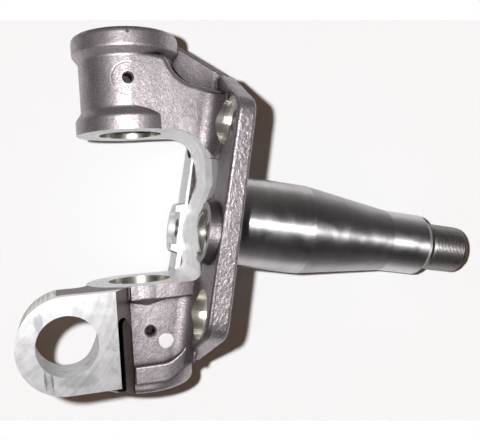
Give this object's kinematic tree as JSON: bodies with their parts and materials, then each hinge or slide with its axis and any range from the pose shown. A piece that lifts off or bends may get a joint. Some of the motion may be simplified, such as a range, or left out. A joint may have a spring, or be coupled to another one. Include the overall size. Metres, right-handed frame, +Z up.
{
  "type": "steering knuckle",
  "caption": "Forged steering knuckle: inclined king pin yoke, bolted brake flange, tie rod lug with tapered bore, and a stepped stub axle with a threaded end.",
  "frame": {"origin": "where the king pin axis meets the spindle axis", "axes": "+X outboard along the spindle, +Z up, the tie rod lug on the -Y side; the king pin axis leans 11 degrees inboard at its top, in the XZ plane"},
  "size_m": [0.3781, 0.1694, 0.2806],
  "materials": {
    "forged_steel": "forged skin, machined on the bearing seats, the yoke, the lug faces and the spot faces"
  },
  "bodies": {
    "root": {"steering_knuckle": "forged_steel"}
  },
  "joints": []
}
